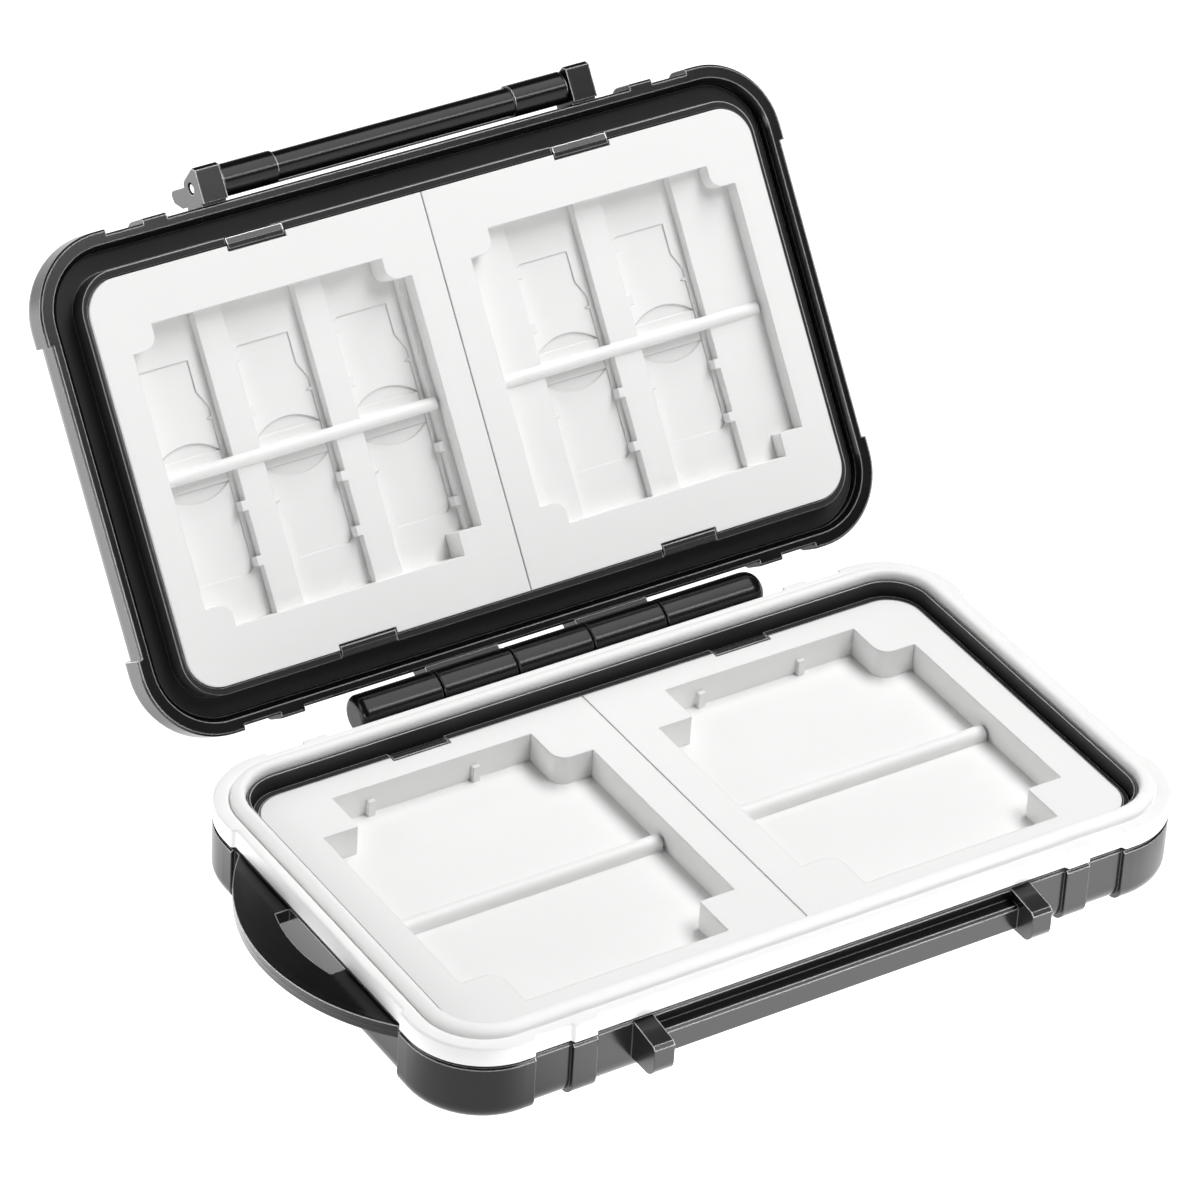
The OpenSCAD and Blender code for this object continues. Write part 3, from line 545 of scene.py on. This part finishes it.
def build_pin_head(cfg, name, side):
    """Rounded end of a latch pin, standing in its hole in the ear."""
    turns = [k / PIN_SIDES * 2 * math.pi for k in range(PIN_SIDES)]
    bm = bmesh.new()
    rings = []
    for out, r in PIN_HEAD:
        x = side * (cfg.pin_end + out)
        places = [(x, cfg.pin_y + r * math.cos(a), cfg.pin_z + r * math.sin(a)) for a in turns]
        rings.append([bm.verts.new(place) for place in places])
    join_rings(bm, rings)
    close_ends(bm, rings)
    return place_mesh(name, bm, sharp=40)


# Studio


def softbox(name, place, aim, size, watts):
    data = bpy.data.lights.new(name, "AREA")
    data.shape = "RECTANGLE"
    data.size, data.size_y = size
    data.energy = watts
    lamp = add_object(name, data)
    lamp.location = place
    lamp.rotation_euler = (Vector(aim) - Vector(place)).to_track_quat("-Z", "Y").to_euler()
    return lamp


def only_for(lamp, names):
    """Lets a lamp light these pieces alone."""
    pieces = bpy.data.collections.new(lamp.name + "_pieces")
    for name in names:
        pieces.objects.link(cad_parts.get(name) or bpy.data.objects[name])
    lamp.light_linking.receiver_collection = pieces


def build_lights(cfg):
    only_for(softbox("light_above", *ABOVE, cfg.above), TOP_LIT)
    only_for(softbox("light_above_black", *ABOVE, cfg.above * cfg.above_black), MIRRORS)
    softbox("light_side", *SIDE, cfg.side)
    softbox("light_front", *FRONT, cfg.front)
    for name, place, size in EDGE_LIGHTS:
        area = size[0] * size[1]
        only_for(softbox(name, place, EDGE_AIM, size, cfg.strips * area), MIRRORS)


def build_room(cfg):
    world = bpy.data.worlds.new("studio")
    world.use_nodes = True
    room = world.node_tree.nodes["Background"]
    room.inputs["Color"].default_value = (1, 1, 1, 1)
    room.inputs["Strength"].default_value = cfg.room
    bpy.context.scene.world = world


def floor_paper(cfg):
    """Pale paper that glows, brighter in patches that the black walls mirror."""
    finish = Finish("floor_paper")
    fibre = finish.noise(width=0.02, detail=3, rough=0.5)
    tone = finish.blend(fibre, rgba(cfg.floor, 0.99), rgba(cfg.floor, 1.01))
    where = finish.node("ShaderNodeTexCoord", output="Object")
    x, y = finish.axis(where, 0), finish.axis(where, 1)
    before, beside = [finish.hill(x, across) * finish.hill(y, along) * strength
                      for strength, across, along in FLOOR_PATCHES]
    even = rgba((cfg.floor_even,) * 3)
    glow = finish.blend(before.larger(beside), even, rgba((1, 1, 1)))
    return finish.close(Base_Color=tone, Roughness=fibre * 0.05 + 0.82, Specular_IOR_Level=0.1,
                        Emission_Color=glow, Emission_Strength=cfg.floor_glow)


def build_floor(cfg):
    mesh = bpy.data.meshes.new("floor")
    bm = bmesh.new()
    bmesh.ops.create_grid(bm, x_segments=12, y_segments=12, size=FLOOR_HALF)
    bm.to_mesh(mesh)
    bm.free()
    mesh.materials.append(floor_paper(cfg))
    floor = add_object("floor", mesh)
    floor.location = (0, 0, CAD_BOX[0].z - FLOOR_GAP)


def build_camera(cfg):
    a, e, roll = cfg.azimuth, cfg.elevation, cfg.roll
    back = Vector((math.sin(a) * math.cos(e), -math.cos(a) * math.cos(e), math.sin(e)))
    level = Vector((math.cos(a), math.sin(a), 0))
    upright = back.cross(level)
    right = level * math.cos(roll) + upright * math.sin(roll)
    up = upright * math.cos(roll) - level * math.sin(roll)
    data = bpy.data.cameras.new("camera")
    data.sensor_width = cfg.sensor
    data.lens = cfg.lens
    data.clip_start, data.clip_end = 0.01, 20
    camera = add_object("camera", data)
    turned = Matrix((right, up, back)).transposed().to_4x4()
    camera.matrix_world = Matrix.Translation(Vector(cfg.place)) @ turned
    bpy.context.scene.camera = camera


# Operators, one for each group of like pieces and one for the stage


class CASE_OT_shells(bpy.types.Operator):
    """Dresses the base shell and the lid shell"""
    bl_idname = "case.shells"
    bl_label = "Dress the shells"

    def execute(self, context):
        cfg = context.scene.case_finishes
        plastic = moulded_black("shell_plastic", cfg.shell_black, cfg.shell_gloss, cfg)
        wear_finish(SHELLS, plastic)
        return {"FINISHED"}


class CASE_OT_liners(bpy.types.Operator):
    """Dresses the frames inside the rims and the clips"""
    bl_idname = "case.liners"
    bl_label = "Dress liners and clips"

    def execute(self, context):
        cfg = context.scene.case_finishes
        tone = cfg.liner_black
        liner = moulded_black("liner_plastic", tone, cfg.liner_gloss, cfg, wear=0.2, mirror=0.22)
        clip = moulded_black("clip_plastic", tone, cfg.clip_gloss, cfg, wear=0.4, mirror=0.25)
        wear_finish(LINERS, liner)
        wear_finish(CLIPS, clip)
        return {"FINISHED"}


class CASE_OT_trays(bpy.types.Operator):
    """Dresses the four card trays"""
    bl_idname = "case.trays"
    bl_label = "Dress the card trays"

    def execute(self, context):
        cfg = context.scene.case_finishes
        tone = cfg.tray_white
        smooth = moulded_white("base_tray_plastic", tone, cfg.base_tray_gloss, cfg, flow_marks=0.00003)
        wavy = moulded_white("lid_tray_plastic", tone, cfg.lid_tray_gloss, cfg, flow_marks=0.00006)
        wear_finish(BASE_TRAYS, smooth)
        wear_finish(LID_TRAYS, wavy)
        return {"FINISHED"}


class CASE_OT_pins(bpy.types.Operator):
    """Dresses the hinge pin and the latch pins"""
    bl_idname = "case.pins"
    bl_label = "Dress the pins"

    def execute(self, context):
        cfg = context.scene.case_finishes
        wear_finish(PINS, drawn_steel("pin_steel", cfg.pin_grey, cfg))
        return {"FINISHED"}


class CASE_OT_latch(bpy.types.Operator):
    """Dresses the latch bar"""
    bl_idname = "case.latch"
    bl_label = "Dress the latch"

    def execute(self, context):
        cfg = context.scene.case_finishes
        plastic = moulded_black("latch_plastic", cfg.shell_black, cfg.latch_gloss, cfg, grain_depth=0.0000015)
        wear_finish(("latch_bar",), plastic)
        return {"FINISHED"}


class CASE_OT_seal(bpy.types.Operator):
    """Builds the soft seal with its bead in place of the plain one"""
    bl_idname = "case.seal"
    bl_label = "Build the seal"

    def execute(self, context):
        cfg = context.scene.case_finishes
        seal = build_seal(context.scene.case_seal)
        seal.data.materials.append(soft_white("seal_rubber", cfg.seal_white, cfg.seal_gloss, cfg))
        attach(seal, "base")
        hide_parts("base_seal")
        return {"FINISHED"}


class CASE_OT_loop_rim(bpy.types.Operator):
    """Gives the carrying loop its upright rim"""
    bl_idname = "case.loop_rim"
    bl_label = "Build the loop's rim"

    def execute(self, context):
        rim = build_loop_rim(context.scene.case_small_parts)
        rim.data.materials.append(bpy.data.materials["shell_plastic"])
        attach(rim, "base")
        return {"FINISHED"}


class CASE_OT_pin_heads(bpy.types.Operator):
    """Builds the rounded ends of the two latch pins"""
    bl_idname = "case.pin_heads"
    bl_label = "Build the pin heads"

    def execute(self, context):
        for name, side in (("pin_head_left", -1), ("pin_head_right", 1)):
            head = build_pin_head(context.scene.case_small_parts, name, side)
            head.data.materials.append(bpy.data.materials["pin_steel"])
            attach(head, "lid")
        return {"FINISHED"}


class CASE_OT_studio(bpy.types.Operator):
    """Sets up the floor, the lights and the camera"""
    bl_idname = "case.studio"
    bl_label = "Set up the studio"

    def execute(self, context):
        cfg = context.scene.case_studio
        build_floor(cfg)
        build_room(cfg)
        build_lights(cfg)
        build_camera(cfg)
        context.scene.view_settings.view_transform = "Standard"
        return {"FINISHED"}


class CASE_PT_panel(bpy.types.Panel):
    """Settings and steps of the card case"""
    bl_idname = "CASE_PT_panel"
    bl_label = "Card case"
    bl_space_type = "VIEW_3D"
    bl_region_type = "UI"
    bl_category = "Card case"

    def draw(self, context):
        for step in OPERATORS:
            self.layout.operator(step.bl_idname)
        for name, group in GROUPS:
            box = self.layout.box()
            for key in group.__annotations__:
                box.prop(getattr(context.scene, name), key)


OPERATORS = (
    CASE_OT_shells, CASE_OT_liners, CASE_OT_trays, CASE_OT_pins, CASE_OT_latch,
    CASE_OT_seal, CASE_OT_loop_rim, CASE_OT_pin_heads, CASE_OT_studio,
)
GROUPS = (
    ("case_finishes", CaseFinishes), ("case_seal", SealSizes), ("case_small_parts", SmallPartSizes),
    ("case_studio", StudioSettings),
)


def register():
    for name, group in GROUPS:
        bpy.utils.register_class(group)
        setattr(bpy.types.Scene, name, PointerProperty(type=group))
    for kind in (*OPERATORS, CASE_PT_panel):
        bpy.utils.register_class(kind)


def unregister():
    for kind in (CASE_PT_panel, *OPERATORS):
        bpy.utils.unregister_class(kind)
    for name, group in GROUPS:
        delattr(bpy.types.Scene, name)
        bpy.utils.unregister_class(group)


def main():
    register()
    bpy.ops.case.shells()
    bpy.ops.case.liners()
    bpy.ops.case.trays()
    bpy.ops.case.pins()
    bpy.ops.case.latch()
    bpy.ops.case.seal()
    bpy.ops.case.loop_rim()
    bpy.ops.case.pin_heads()
    bpy.ops.case.studio()
    bpy.context.view_layer.update()


if __name__ == "__main__":
    main()
